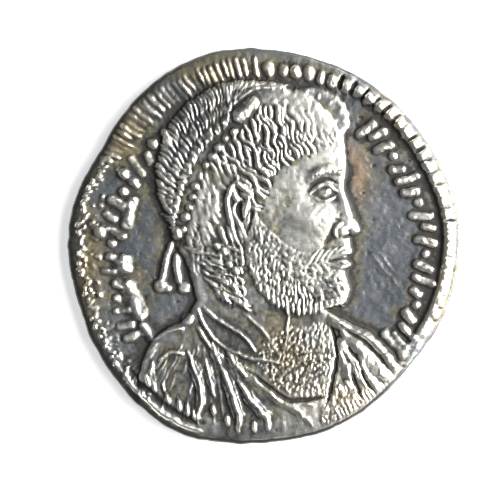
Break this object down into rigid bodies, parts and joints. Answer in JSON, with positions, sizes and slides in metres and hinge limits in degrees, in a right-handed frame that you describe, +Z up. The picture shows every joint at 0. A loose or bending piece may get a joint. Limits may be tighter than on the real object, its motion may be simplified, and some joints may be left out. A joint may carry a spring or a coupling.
{
  "type": "siliqua coin",
  "caption": "Thin round struck silver coin with a bearded, diademed bust facing right, a beaded border and a wreath on the back.",
  "frame": {"origin": "under the middle of the coin's bounding box, on the plane that the worn reverse rests on", "axes": "+Z up out of the obverse, +Y towards the top of the obverse's design, +X to its right, the way the bust faces"},
  "size_m": [0.018, 0.0182, 0.0013],
  "materials": {
    "toned_silver": "struck silver, bright and worn on the high points, toned dark blue-grey in the field and nearly black in the recesses"
  },
  "bodies": {
    "root": {"coin": "toned_silver"}
  },
  "joints": []
}
